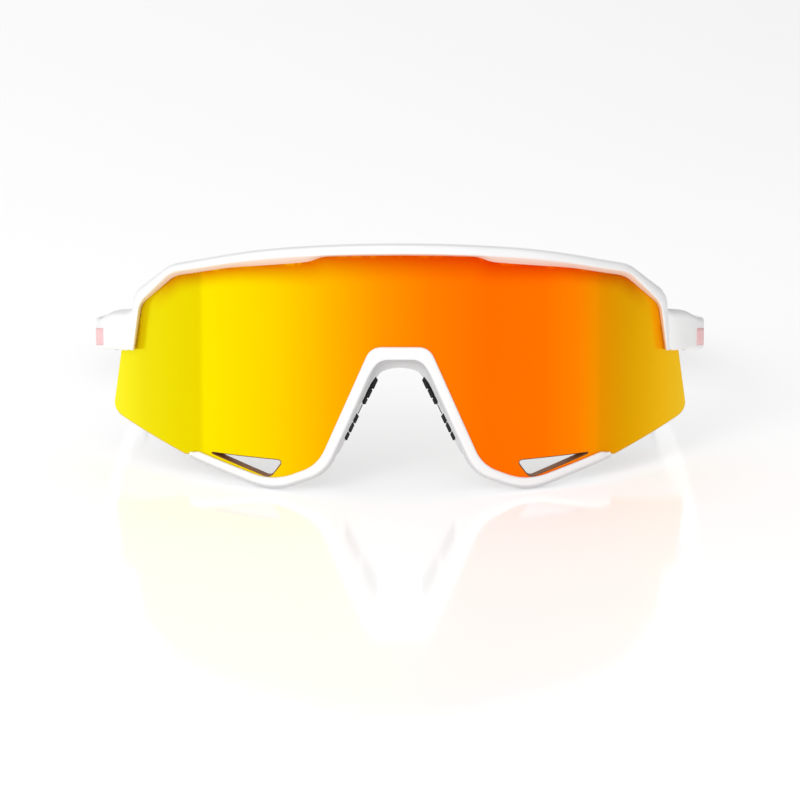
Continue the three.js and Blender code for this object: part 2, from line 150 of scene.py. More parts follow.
def rounded_path(corners, closed=False, arc_steps=8):
    """(points, marks): a polyline with rounded corners, and the index of each corner's middle."""
    points, marks = [], []
    count = len(corners)
    for i, (x, y, reach) in enumerate(corners):
        here = Vector((x, y))
        if reach == 0 or (not closed and i in (0, count - 1)):
            marks.append(len(points))
            points.append(here)
            continue
        before = Vector(corners[i - 1][:2]) - here
        after = Vector(corners[(i + 1) % count][:2]) - here
        start = here + before.normalized() * reach
        end = here + after.normalized() * reach
        marks.append(len(points) + arc_steps // 2)
        for k in range(arc_steps + 1):
            t = k / arc_steps
            points.append(start * (1 - t) ** 2 + here * (2 * t * (1 - t)) + end * t ** 2)
    return points, marks


def resampled(points, count):
    """count + 1 points at equal arc length along a polyline."""
    lengths = [0.0]
    for a, b in zip(points, points[1:]):
        lengths.append(lengths[-1] + (b - a).length)
    result, k = [], 0
    for i in range(count + 1):
        target = lengths[-1] * i / count
        while k < len(points) - 2 and lengths[k + 1] < target:
            k += 1
        span = lengths[k + 1] - lengths[k]
        result.append(points[k].lerp(points[k + 1], (target - lengths[k]) / span if span else 0))
    return result


def matched(corners, counts):
    """A rounded path with counts[i] steps between corner i and corner i + 1."""
    points, marks = rounded_path(corners, arc_steps=24)
    result = [points[0]]
    for (a, b), count in zip(zip(marks, marks[1:]), counts):
        result += resampled(points[a:b + 1], count)[1:]
    return result


def spline_at(points, t):
    """Catmull-Rom through 3-D points; t runs from 0 to len(points) - 1."""
    k = min(int(t), len(points) - 2)
    p = [Vector(points[min(max(k + j, 0), len(points) - 1)]) for j in (-1, 0, 1, 2)]
    u = t - k
    return 0.5 * (
        2 * p[1] + (p[2] - p[0]) * u + (2 * p[0] - 5 * p[1] + 4 * p[2] - p[3]) * u * u
        + (3 * p[1] - p[0] - 3 * p[2] + p[3]) * u ** 3
    )


def temple_centre(y):
    """The middle of the left temple at depth y, found by halving."""
    low, high = 0.0, len(TEMPLE_LINE) - 1.0
    for _ in range(30):
        middle = (low + high) / 2
        if spline_at(TEMPLE_LINE, middle).y < y:
            low = middle
        else:
            high = middle
    return spline_at(TEMPLE_LINE, low)


def table_value(table, y):
    """Smoothly interpolated values of a table of (y, value, value, ...)."""
    for low, high in zip(table, table[1:]):
        if y <= high[0]:
            t = smooth((y - low[0]) / (high[0] - low[0]))
            return [lerp(a, b, t) for a, b in zip(low[1:], high[1:])]
    return list(table[-1][1:])


# ---------------------------------------------------------------- mesh helpers

def add_object(name, mesh, body, material, cad=(), sharp=40):
    """Puts a mesh in the scene on a body; cad names the CAD nodes that it replaces."""
    obj = bpy.data.objects.new(name, mesh)
    bpy.context.scene.collection.objects.link(obj)
    mesh.materials.append(material)
    mesh.shade_smooth()
    mesh.set_sharp_from_angle(angle=radians(sharp))
    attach(obj, body)
    if cad:
        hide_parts(*cad)
    return obj


def mesh_from(name, points, faces, painted_light_weights=None):
    """A mesh from lens-frame points in mm, facing outwards; weights say where painted shade or painted
    bounce light changes the materials' tone.
    """
    mesh = bpy.data.meshes.new(name)
    mesh.from_pydata([in_row(*p) for p in points], [], faces)
    if painted_light_weights:
        values = mesh.attributes.new("painted_light", "FLOAT", "POINT")
        values.data.foreach_set("value", painted_light_weights)
    build = bmesh.new()
    build.from_mesh(mesh)
    bmesh.ops.remove_doubles(build, verts=build.verts, dist=1e-6)
    bmesh.ops.recalc_face_normals(build, faces=build.faces)
    build.to_mesh(mesh)
    build.free()
    return mesh


def loft(name, sections, section_painted_light=None):
    """Closed sections of equal length joined into a tube, with fan caps."""
    size = len(sections[0])
    points = [tuple(p) for section in sections for p in section]
    faces = []
    for i in range(len(sections) - 1):
        for k in range(size):
            a = i * size + k
            b = i * size + (k + 1) % size
            faces.append((a, b, b + size, a + size))
    for start, section in ((0, sections[0]), ((len(sections) - 1) * size, sections[-1])):
        centre = sum((Vector(p) for p in section), Vector()) / size
        points.append(tuple(centre))
        faces += [(start + k, start + (k + 1) % size, len(points) - 1) for k in range(size)]
    painted_light_weights = None
    if section_painted_light:
        painted_light_weights = section_painted_light * len(sections) + [0.0] * (len(points) - size * len(sections))
    return mesh_from(name, points, faces, painted_light_weights)


def mirror_x(points):
    return [(-x, y, h) for x, y, h in points]


def both_ways(stations):
    """Stations drawn from the middle to the left, continued as their mirror image."""
    return [mirror_x(s) for s in reversed(stations[1:])] + stations


def side_points(side, sections):
    """Sections drawn for the left side, mirrored if the side is the right one."""
    return sections if side == "left" else [mirror_x(s) for s in sections]


def superellipse(count, half_width, half_height, square):
    """Points round a rounded rectangle, as (across, up); a smaller square gives tighter corners."""
    ring = []
    for k in range(count):
        angle = 2 * pi * k / count
        c, s = cos(angle), sin(angle)
        across = abs(c) ** square * half_width * (1 if c >= 0 else -1)
        up = abs(s) ** square * half_height * (1 if s >= 0 else -1)
        ring.append((across, up))
    return ring


# ---------------------------------------------------------------- materials

def new_material(name):
    material = bpy.data.materials.new(name)
    material.use_nodes = True
    nodes = material.node_tree.nodes
    nodes.clear()
    output = nodes.new("ShaderNodeOutputMaterial")
    shader = nodes.new("ShaderNodeBsdfPrincipled")
    material.node_tree.links.new(shader.outputs[0], output.inputs[0])
    return material, nodes, material.node_tree.links, shader


def noise(nodes, links, scale, detail=3.0, stretch=(1, 1, 1)):
    """Noise in object space; scale is features per metre."""
    place = nodes.new("ShaderNodeTexCoord")
    mapping = nodes.new("ShaderNodeMapping")
    mapping.inputs["Scale"].default_value = stretch
    texture = nodes.new("ShaderNodeTexNoise")
    texture.inputs["Scale"].default_value = scale
    texture.inputs["Detail"].default_value = detail
    links.new(place.outputs["Object"], mapping.inputs[0])
    links.new(mapping.outputs[0], texture.inputs["Vector"])
    return texture


def ramp(nodes, links, source, stops):
    node = nodes.new("ShaderNodeValToRGB")
    elements = node.color_ramp.elements
    while len(elements) < len(stops):
        elements.new(0.5)
    for element, (position, colour) in zip(elements, stops):
        element.position = position
        element.color = (*colour, 1)
    links.new(source, node.inputs[0])
    return node


def grey(value):
    return (value, value, value)


def gloss_between(nodes, links, shader, source, low, high):
    """Roughness that varies a little with a noise."""
    node = ramp(nodes, links, source, [(0.3, grey(low)), (0.7, grey(high))])
    links.new(node.outputs[0], shader.inputs["Roughness"])


def painted_light_mix(nodes, links, colour, tone, blend="MIX"):
    """The colour, changed by the tone where the mesh's weight says; the tone is painted shade or painted
    bounce light.
    """
    painted_light = nodes.new("ShaderNodeAttribute")
    painted_light.attribute_name = "painted_light"
    mix = nodes.new("ShaderNodeMix")
    mix.data_type = "RGBA"
    mix.blend_type = blend
    mix.inputs["B"].default_value = tone
    links.new(painted_light.outputs["Fac"], mix.inputs["Factor"])
    links.new(colour, mix.inputs["A"])
    return mix.outputs["Result"]


def bump(nodes, links, shader, height, distance, strength):
    node = nodes.new("ShaderNodeBump")
    node.inputs["Distance"].default_value = distance
    node.inputs["Strength"].default_value = strength
    links.new(height, node.inputs["Height"])
    links.new(node.outputs[0], shader.inputs["Normal"])


# The default tone is a peach painted bounce of the orange lens's light.
def white_plastic(name="white_plastic", white=0.9, painted_light_tone=(0.9, 0.56, 0.4, 1)):
    """Matt white moulding with a fine spark texture, and a painted-light tone where the weight says:
    painted shade or painted warm bounce light.
    """
    material, nodes, links, shader = new_material(name)
    mottle = noise(nodes, links, 90, 4).outputs[0]
    low = white * 0.96
    colour = ramp(nodes, links, mottle, [(0.3, (low, low, low * 1.005)), (0.7, grey(white))])
    toned = painted_light_mix(nodes, links, colour.outputs[0], painted_light_tone)
    links.new(toned, shader.inputs["Base Color"])
    gloss_between(nodes, links, shader, mottle, 0.36, 0.46)
    grain = noise(nodes, links, 5200, 2)
    bump(nodes, links, shader, grain.outputs[0], 0.00001, 0.5)
    shader.inputs["IOR"].default_value = 1.48
    return material


def black_rubber():
    """Soft-touch rubber: fine grain, slightly greyer where it is worn smooth."""
    material, nodes, links, shader = new_material("black_rubber")
    mottle = noise(nodes, links, 160, 5).outputs[0]
    colour = ramp(nodes, links, mottle, [(0.3, (0.012, 0.012, 0.0125)), (0.75, (0.02, 0.02, 0.0205))])
    links.new(colour.outputs[0], shader.inputs["Base Color"])
    gloss_between(nodes, links, shader, mottle, 0.76, 0.9)
    grain = noise(nodes, links, 3800, 3)
    bump(nodes, links, shader, grain.outputs[0], 0.00003, 0.6)
    shader.inputs["Specular IOR Level"].default_value = 0.06
    return material


def brushed_steel():
    """Steel with fine brushing along its height."""
    material, nodes, links, shader = new_material("steel")
    brushing = noise(nodes, links, 2600, 3, stretch=(1, 1, 0.06)).outputs[0]
    colour = ramp(nodes, links, brushing, [(0.3, (0.5, 0.51, 0.52)), (0.7, (0.68, 0.69, 0.7))])
    links.new(colour.outputs[0], shader.inputs["Base Color"])
    gloss_between(nodes, links, shader, brushing, 0.26, 0.4)
    bump(nodes, links, shader, brushing, 0.000008, 0.5)
    shader.inputs["Metallic"].default_value = 1.0
    return material


TINT_REACH = 70  # the tints are placed between this far right and this far left, in mm
LENS_TINTS = [  # x in mm, colour of the mirror coating; the steps between 45.4 and 46.6 mm on both sides are a painted reflection
    (-68, (0.95, 0.86, 0.0)),
    (-60, (0.82, 0.71, 0.0)),
    # Painted reflection: a step darker outside 46 mm, where the bright studio front ends in the mirror.
    (-46.6, (0.77, 0.62, 0.0)),
    (-45.4, (0.91, 0.73, 0.0)),
    (-30, (0.88, 0.59, 0.0)),
    (-16, (0.87, 0.4, 0.0)),
    (-4, (0.91, 0.27, 0.0)),
    (8, (0.94, 0.19, 0.0)),
    (20, (0.96, 0.15, 0.0)),
    (33, (0.98, 0.16, 0.0)),
    (41, (0.98, 0.22, 0.0)),
    # Painted reflection: a step darker outside 46 mm, where the bright studio front ends in the mirror.
    (45.4, (1.0, 0.31, 0.0)),
    (46.6, (0.91, 0.32, 0.0)),
    (54, (0.88, 0.43, 0.0)),
    (62, (1.0, 0.55, 0.0)),
    (68, (1.0, 0.62, 0.0)),
]


def mirror_lens():
    """Mirror coating: its colour runs from yellow over red-orange to gold, with a painted reflection step
    near either end, and a painted shade deepens it by the brow.
    """
    material, nodes, links, shader = new_material("mirror_lens")
    place = nodes.new("ShaderNodeTexCoord")
    split = nodes.new("ShaderNodeSeparateXYZ")
    share = nodes.new("ShaderNodeMapRange")
    share.inputs["From Min"].default_value = -TINT_REACH * MM
    share.inputs["From Max"].default_value = TINT_REACH * MM
    links.new(place.outputs["Object"], split.inputs[0])
    links.new(split.outputs["X"], share.inputs["Value"])
    stops = [((x + TINT_REACH) / (2 * TINT_REACH), colour) for x, colour in LENS_TINTS]
    tint = ramp(nodes, links, share.outputs[0], stops)
    # Painted shade: the coating is multiplied darker and redder where the brow would shade the lens.
    painted_brow_shade = painted_light_mix(nodes, links, tint.outputs[0], (0.74, 0.22, 0.5, 1), "MULTIPLY")
    links.new(painted_brow_shade, shader.inputs["Base Color"])
    haze = noise(nodes, links, 60, 4)
    gloss = ramp(nodes, links, haze.outputs[0], [(0.35, grey(0.23)), (0.65, grey(0.27))])
    links.new(gloss.outputs[0], shader.inputs["Roughness"])
    shader.inputs["Metallic"].default_value = 0.65
    shader.inputs["Specular IOR Level"].default_value = 0.0
    return material


def lens_back():
    """The inside of the lens: tinted, glossy, brown."""
    material, nodes, links, shader = new_material("lens_tint")
    haze = noise(nodes, links, 70, 4).outputs[0]
    colour = ramp(nodes, links, haze, [(0.3, (0.07, 0.03, 0.012)), (0.7, (0.1, 0.042, 0.016))])
    links.new(colour.outputs[0], shader.inputs["Base Color"])
    gloss_between(nodes, links, shader, haze, 0.07, 0.12)
    shader.inputs["Coat Weight"].default_value = 0.6
    shader.inputs["Coat Roughness"].default_value = 0.05
    return material


def lens_edge(name, dark, light):
    """Cut edges of the lens: bare plastic under the coating, slightly uneven."""
    material, nodes, links, shader = new_material(name)
    streaks = noise(nodes, links, 400, 3).outputs[0]
    colour = ramp(nodes, links, streaks, [(0.3, dark), (0.7, light)])
    links.new(colour.outputs[0], shader.inputs["Base Color"])
    gloss_between(nodes, links, shader, streaks, 0.3, 0.42)
    return material


def printed_mark():
    """Plain pink pad print on the temples."""
    material, nodes, links, shader = new_material("pink_print")
    speckle = noise(nodes, links, 1500, 3).outputs[0]
    colour = ramp(nodes, links, speckle, [(0.35, (0.9, 0.5, 0.52)), (0.65, (0.95, 0.62, 0.63))])
    links.new(colour.outputs[0], shader.inputs["Base Color"])
    shader.inputs["Roughness"].default_value = 0.5
    return material


WHITE = white_plastic()
# A grey painted tone: painted shade on the rim's chamfer and the end pieces' tops.
PAINTED_SHADE_WHITE = white_plastic("white_plastic_painted_shade", painted_light_tone=(0.64, 0.64, 0.65, 1))
# The saddle's white is painted darker: painted shade behind and under the rim.
PAINTED_SHADE_CARRIER_WHITE = white_plastic("carrier_plastic_painted_shade", white=0.72)
RUBBER = black_rubber()
STEEL = brushed_steel()
MIRROR = mirror_lens()
TINT = lens_back()
VENT_WALL = lens_edge("vent_wall", (0.15, 0.055, 0.015), (0.24, 0.09, 0.025))
OUTER_EDGE = lens_edge("lens_outer_edge", (0.6, 0.34, 0.03), (0.72, 0.42, 0.04))
PRINT = printed_mark()


# ---------------------------------------------------------------- lens

def inset(path, distance):
    """A closed path moved inwards by a small distance, whichever way round it runs."""
    area = sum(a.x * b.y - b.x * a.y for a, b in zip(path, path[1:] + path[:1]))
    turn = 1 if area > 0 else -1
    result = []
    for i, here in enumerate(path):
        along = path[(i + 1) % len(path)] - path[i - 1]
        normal = Vector((-along.y, along.x)).normalized() * turn
        result.append(here + normal * distance)
    return result


def dense(path, step):
    """A closed path with extra points so that no side is longer than step."""
    result = []
    for a, b in zip(path, path[1:] + path[:1]):
        if (b - a).length < 1e-6:
            continue
        count = max(1, round((b - a).length / step))
        result += [a.lerp(b, k / count) for k in range(count)]
    return result


def inside(point, path):
    """Whether a closed path goes round the point, by counting crossings."""
    crossings = 0
    for a, b in zip(path, path[1:] + path[:1]):
        if (a.y > point.y) != (b.y > point.y):
            if point.x < a.x + (b.x - a.x) * (point.y - a.y) / (b.y - a.y):
                crossings += 1
    return crossings % 2 == 1


def gap_to(point, path):
    return min((point - p).length for p in path)


def lens_shelter(x, h, brow_edge):
    """How much the brow shades the lens at a point: 1 at its edge, less over 4 to 6.5 mm, 0 at the ends."""
    gap = gap_to(Vector((abs(x), h)), brow_edge)
    reach = lerp(6.5, 4.0, ease(10, 45, abs(x)))
    return max(0.0, 1 - gap / reach) ** 1.4 * (1 - ease(52, 60, abs(x)))


GRID_STEP = 1.1  # spacing of the lens's inner points
GRID_HALF_COLUMNS = 62
GRID_ROWS = 53
GRID_BOTTOM = 0.9
GRID_CLEARANCE = 0.7  # the inner points stay this far from the edges


def lens_skin(loops):
    """Triangles over the first loop less the others, on a fine grid: flat points and corner indices."""
    outline, holes = loops[0], loops[1:]
    verts, bounds = [], []
    for loop in loops:
        bounds.append(list(range(len(verts), len(verts) + len(loop))))
        verts += loop
    for i in range(-GRID_HALF_COLUMNS, GRID_HALF_COLUMNS + 1):
        for k in range(GRID_ROWS):
            point = Vector((i * GRID_STEP, GRID_BOTTOM + k * GRID_STEP))
            if not inside(point, outline) or gap_to(point, outline) < GRID_CLEARANCE:
                continue
            if any(inside(point, hole) or gap_to(point, hole) < GRID_CLEARANCE for hole in holes):
                continue
            verts.append(point)
    skin = geometry.delaunay_2d_cdt(verts, [], bounds, 1, 1e-5)
    flat, triangles = skin[0], skin[2]
    kept = []
    for triangle in triangles:
        middle = (flat[triangle[0]] + flat[triangle[1]] + flat[triangle[2]]) / 3
        if inside(middle, outline) and not any(inside(middle, hole) for hole in holes):
            kept.append(tuple(triangle))
    return flat, kept


def lens_loops():
    """The lens's outline and two vents, in front and at the back, where the vents are smaller."""
    half = [c for c in LENS_OUTLINE if c[0] > 0]
    whole = LENS_OUTLINE + [(-x, h, reach) for x, h, reach in reversed(half)]
    outline = dense(rounded_path(whole, closed=True)[0], 0.8)
    vent = dense(rounded_path(VENT, closed=True)[0], 0.5)
    fixed = Vector(VENT[1][:2])
    back_vent = [fixed + (p - fixed) * Vector(VENT_TAPER) for p in vent]
    front = [outline, vent, [Vector((-p.x, p.y)) for p in vent]]
    back = [outline, back_vent, [Vector((-p.x, p.y)) for p in back_vent]]
    return front, back


def lens_walls(points, faces, rings):
    """Adds the wall through the lens's thickness: rings of flat points, each with its depth."""
    size = len(rings[0][0])
    first = len(points)
    for ring, depth in rings:
        points += [on_shell(p.x, p.y, depth) for p in ring]
    for row in range(len(rings) - 1):
        for i in range(size):
            a = first + row * size + i
            b = first + row * size + (i + 1) % size
            faces.append((a, b, b + size, a + size))


FACING = 0.9  # cosine to the lens's radius from which a face belongs to a skin, not a wall
VENT_SPAN = (25, 45)  # the vents lie between these x
VENT_TOP = 12  # and below this height


def finish_lens(mesh):
    """Gives each face its material, and both skins the true normals of the cylinder."""
    axis_top = in_row(0, LENS_RADIUS, 0)
    axis_direction = (in_row(0, LENS_RADIUS, 1) - axis_top).normalized()

    def spoke_at(place):
        spoke = place - axis_top
        return (spoke - axis_direction * spoke.dot(axis_direction)).normalized()

    for polygon in mesh.polygons:
        facing = polygon.normal.dot(spoke_at(polygon.center))
        if facing > FACING:
            polygon.material_index = 0
        elif facing < -FACING:
            polygon.material_index = 1
        else:
            in_span = VENT_SPAN[0] * MM < abs(polygon.center.x) < VENT_SPAN[1] * MM
            polygon.material_index = 2 if in_span and polygon.center.z < VENT_TOP * MM else 3
    spokes = [spoke_at(vertex.co) for vertex in mesh.vertices]
    normals = []
    for polygon in mesh.polygons:
        for v in polygon.vertices:
            facing = polygon.normal.dot(spokes[v])
            if abs(facing) > FACING:
                normals.append(spokes[v] if facing > 0 else -spokes[v])
            else:
                normals.append(polygon.normal.copy())
    mesh.normals_split_custom_set(normals)


def make_lens():
    front, back = lens_loops()
    points, faces, broken, front_flat = [], [], [], []
    for loops, depth in ((front, 0), (back, -LENS_THICKNESS)):
        skin_loops = [inset(loops[0], LENS_BREAK)] + [inset(v, -LENS_BREAK) for v in loops[1:]]
        flat, triangles = lens_skin(skin_loops)
        faces += [tuple(v + len(points) for v in t) for t in triangles]
        points += [on_shell(p.x, p.y, depth) for p in flat]
        front_flat = front_flat or flat
        broken.append(skin_loops)
    for k in range(len(front)):
        lens_walls(points, faces, [
            (broken[0][k], 0),
            (front[k], -LENS_BREAK),
            (back[k], LENS_BREAK - LENS_THICKNESS),
            (broken[1][k], -LENS_THICKNESS),
        ])
    brow_edge = resampled(rounded_path(BROW_LENS_EDGE)[0], 160)
    # Painted shade on the lens by the brow, as a weight per front point.
    painted_light_weights = [lens_shelter(p.x, p.y, brow_edge) for p in front_flat]
    painted_light_weights += [0.0] * (len(points) - len(painted_light_weights))
    mesh = mesh_from("lens", points, faces, painted_light_weights)
    add_object("lens_visual", mesh, "front", MIRROR, ["shield_lens"], sharp=30)
    for material in (TINT, VENT_WALL, OUTER_EDGE):
        mesh.materials.append(material)
    finish_lens(mesh)


# ---------------------------------------------------------------- front mouldings

def rim_section(inner, outer, share):
    """Section of the lower rim between its lens side and its outer side, in the lens frame."""
    across = outer - inner
    width = across.length
    unit = across / width
    chamfer = 0.35 + 0.45 * ease(0.09, 0.15, share) + 0.25 * ease(0.3, 0.44, share)
    low = RIM_BACK - 0.02

    def at(distance, proud):
        p = inner + unit * distance
        return on_shell(p.x, p.y, proud)

    face_end = width - chamfer
    return [
        at(0.0, 0.06), at(0.0, 0.58), at(0.10, 0.80), at(0.30, 0.91), at(0.60, RIM_PROUD),
        at(face_end - 0.60, RIM_PROUD), at(face_end - 0.22, 0.91), at(face_end, 0.78),
        at(face_end + chamfer * 0.35, 0.45), at(face_end + chamfer * 0.72, -0.15),
        at(width - 0.03, -0.75), at(width, -1.3), at(width, -2.3), at(width - 0.12, -2.8),
        at(width - 0.45, -low + 0.05), at(width - 0.9, -low), at(0.6, -low), at(0.22, -low + 0.1),
        at(0.04, -low + 0.4), at(0.0, -2.4), at(0.0, -GROOVE_BACK), at(1.25, -GROOVE_BACK), at(1.25, 0.06),
    ]


def make_lower_rim():
    """The W-shaped rim round the lens's lower edge and nose cut-out; its chamfer is painted greyer, as
    painted shade.
    """
    counts = [8, 34, 18, 26, 5]
    inner = matched(RIM_LENS_SIDE, counts)
    outer = matched(RIM_OUTER_SIDE, counts)
    total = len(inner) - 1
    stations = []
    for i, (a, b) in enumerate(zip(inner, outer)):
        stations.append(rim_section(a, b, i / total))
    # Painted shade: the chamfer and outer wall points take the grey painted tone.
    painted_shade = [0.0] * 7 + [0.35] + [1.0] * 6 + [0.5] + [0.0] * (len(stations[0]) - 15)
    mesh = loft("rim", both_ways(stations), painted_shade)
    add_object("lower_rim_visual", mesh, "front", PAINTED_SHADE_WHITE, ["lower_rim"], sharp=50)


def brow_section(top, front, lens):
    """Section of the brow between its top, the edge of its front face and its edge over the lens."""
    outward = (top - lens).normalized()

    def on_chamfer(share, proud):
        p = lens.lerp(front, share)
        return on_shell(p.x, p.y, proud)

    def along(start, distance, proud):
        p = start + outward * distance
        return on_shell(p.x, p.y, proud)

    back = BROW_BACK
    return [
        along(lens, 0.0, 0.08), on_chamfer(0.33, 0.7), on_chamfer(0.7, 1.3), on_chamfer(0.93, 1.66),
        along(front, 0.12, 1.84), along(front, 0.38, BROW_PROUD), along(top, -0.95, BROW_PROUD),
        along(top, -0.5, BROW_PROUD - 0.08), along(top, -0.18, BROW_PROUD - 0.3),
        along(top, -0.03, BROW_PROUD - 0.65), along(top, 0.0, BROW_PROUD - 1.1), along(top, 0.0, 0.0),
        along(top, -0.02, 1.2 - back), along(top, -0.15, 0.6 - back), along(top, -0.45, 0.16 - back),
        along(top, -0.9, -back), along(lens, 0.8, -back), along(lens, 0.3, 0.1 - back),
        along(lens, 0.05, 0.45 - back), along(lens, 0.0, -2.5), along(lens, 0.0, -GROOVE_BACK),
        along(lens, 1.45, -GROOVE_BACK), along(lens, 1.45, 0.08),
    ]


def height_at(path, x):
    """Height of a path at x, for a path that runs outwards."""
    for a, b in zip(path, path[1:]):
        if a.x <= x <= b.x and b.x > a.x:
            return lerp(a.y, b.y, (x - a.x) / (b.x - a.x))
    return path[-1].y


def make_brow():
    """The brow over the top and down both sides; its chamfer carries a painted warm bounce of the lens's
    orange light.
    """
    over_steps = [16, 24, 22]
    over, round_corner, down = sum(over_steps), 18, 14
    counts = over_steps + [round_corner, down]
    top = matched(BROW_TOP, counts)
    front = matched(BROW_FRONT_EDGE, counts)
    points, marks = rounded_path(BROW_LENS_EDGE, arc_steps=12)
    corner, knee = marks[-3], marks[-2]
    # Over the top the lens edge is matched by x, so that its step stays where it is.
    across = [p.x * points[corner].x / front[over].x for p in front[:over + 1]]
    lens = [Vector((x, height_at(points, x))) for x in across]
    lens += resampled(points[corner:knee + 1], round_corner)[1:]
    lens += resampled(points[knee:], down)[1:]
    stations = [brow_section(t, f, l) for t, f, l in zip(top, front, lens)]
    # Painted bounce light: the chamfer's points take the peach painted tone.
    painted_bounce = [0.8, 0.7, 0.55, 0.35] + [0.0] * (len(stations[0]) - 4)
    mesh = loft("brow", both_ways(stations), painted_bounce)
    add_object("brow_visual", mesh, "front", WHITE, ["brow_frame"], sharp=50)


def rounded_box_section(outer, inner, low, high, radius, rise=0.0):
    """A rounded upright rectangle between two plan points and two heights; its top rises inwards."""
    outer, inner = Vector(outer), Vector(inner)
    width = (outer - inner).length
    unit = (outer - inner) / width
    radius = min(radius, width / 2 - 0.02, (high - low) / 2 - 0.02)
    ring = []
    for cx, ch, start in (
        (width - radius, high - radius, 0), (radius, high - radius, 90),
        (radius, low + radius, 180), (width - radius, low + radius, 270),
    ):
        for k in range(7):
            angle = radians(start + 15 * k)
            across = cx + radius * cos(angle)
            p = inner + unit * across
            lift = rise * (1 - across / width) * (ch > low + radius)
            ring.append((p.x, p.y, ch + radius * sin(angle) + lift))
    return ring


END_PIECE_ROUNDING = 0.9
END_PIECE_STATIONS = [  # outer x and y, inner x and y, bottom height, top height outside and inside
    (62.8, 27.9, 63.4, 30.2, 30.1, 39.4, 39.8),
    (64.4, 28.9, 64.2, 31.6, 29.72, 38.3, 39.7),
    (66.2, 30.6, 65.4, 33.2, 29.6, 38.1, 39.4),
    (68.2, 33.1, 66.9, 35.4, 29.35, 37.8, 38.75),
    (70.2, 35.9, 67.8, 37.6, 29.0, 36.9, 38.0),
    (71.6, 38.5, 67.95, 39.3, 28.7, 36.0, 36.95),
    (72.3, 40.6, 68.0, 40.8, 28.45, 36.0, 36.25),
    (72.5, 41.95, 68.0, 41.95, 28.3, 36.05, 36.05),
]


def station_values(table, t):
    """Catmull-Rom through rows of numbers; t runs from 0 to len(table) - 1."""
    k = min(int(t), len(table) - 2)
    rows = [table[min(max(k + j, 0), len(table) - 1)] for j in (-1, 0, 1, 2)]
    u = t - k
    return [
        0.5 * (2 * b + (c - a) * u + (2 * a - 5 * b + 4 * c - d) * u * u + (3 * b - a - 3 * c + d) * u ** 3)
        for a, b, c, d in zip(*rows)
    ]


def end_piece_section(t):
    """Section of the left end piece at a place t along its table."""
    ox, oy, ix, iy, low, high, inner_high = station_values(END_PIECE_STATIONS, t)
    return rounded_box_section((ox, oy), (ix, iy), low, high, END_PIECE_ROUNDING, inner_high - high)


def make_end_piece(side):
    """The block from the brow back to the hinge; its top is painted greyer, as painted shade."""
    steps = 42
    last = len(END_PIECE_STATIONS) - 1
    sections = [end_piece_section(last * i / steps) for i in range(steps + 1)]
    # Painted shade: the points of the top corners take the grey painted tone.
    painted_shade = [0.0, 0.05, 0.12, 0.25, 0.4, 0.6, 0.7] + [0.8] * 7 + [0.0] * 14
    mesh = loft("end_piece", side_points(side, sections), painted_shade)
    add_object(f"{side}_end_piece", mesh, "front", PAINTED_SHADE_WHITE, sharp=50)


SADDLE_PATH = [  # (x, h), from the foot of the left leg to the top of the arch
    (15.6, 9.0), (13.45, 13.3), (11.35, 17.6), (9.2, 22.1), (7.0, 26.4), (4.5, 28.9), (0, 29.9),
]
SADDLE_MID_Y = 8.8
SADDLE_GAP = 0.06  # between the saddle and the back of the rim
SADDLE_SECTION = [  # depth from the middle, distance away from the nose
    (-5.4, 1.9), (-5.4, 0.6), (-5.4, -0.52), (-4.2, -0.72), (-2.0, -1.02), (1.0, -1.38), (3.2, -1.66),
    (3.75, -1.68), (4.1, -1.5), (4.28, -1.1), (4.28, 0.0), (4.2, 0.5), (3.9, 0.82), (3.4, 0.92),
    (0.0, 1.2), (-3.0, 1.6),
]


def make_saddle():
    """The arch behind the bridge, flaring towards the nose with depth."""
    mirrored = [(-x, h) for x, h in reversed(SADDLE_PATH[:-1])]
    whole = [(x, h, 0) for x, h in SADDLE_PATH + mirrored]
    steps = 120
    centres = [spline_at(whole, (len(whole) - 1) * i / steps).xy for i in range(steps + 1)]
    sections = []
    for i, here in enumerate(centres):
        along = (centres[min(i + 1, steps)] - centres[max(i - 1, 0)]).normalized()
        away = Vector((along.y, -along.x))
        section = []
        for depth, across in SADDLE_SECTION:
            p = here + away * across
            behind_rim = shell_depth(p.x, -RIM_BACK - SADDLE_GAP)
            section.append((p.x, max(SADDLE_MID_Y + depth, behind_rim), p.y))
        sections.append(section)
    mesh = loft("saddle", sections)
    # Painted shade: the saddle's white is painted darker.
    add_object(
        "nose_saddle_visual", mesh, "front", PAINTED_SHADE_CARRIER_WHITE, ["nose_saddle"], sharp=50,
    )


PAD_LENGTH = 16.4
PAD_DEPTH = 7.5
PAD_END = 0.4  # length over which the pad's ends are rounded
PAD_RIBS = [  # length and height of each rib, from the lower end
    (2.1, 0.8), (2.4, 0.85), (2.3, 0.92), (2.7, 0.56), (1.7, 1.1), (2.4, 1.2), (2.8, 1.32),
]
PAD_GROOVE = 0.38  # depth of the grooves between ribs
PAD_CENTRE = Vector((9.8, 9.0, 19.4))
PAD_LEAN = radians(25.2)
PAD_FLARE = radians(9.2)
PAD_SLANT = 0.2  # fall of the ribs towards the face, per millimetre of depth


def pad_height(along):
    """Height of the ribbed pad over its base, along from its lower end."""
    start = 0.0
    for length, height in PAD_RIBS:
        if along <= start + length:
            edge = min(along - start, start + length - along)
            return height - PAD_GROOVE * (1 - ease(0.14, 0.22, edge))
        start += length
    return PAD_RIBS[-1][1]


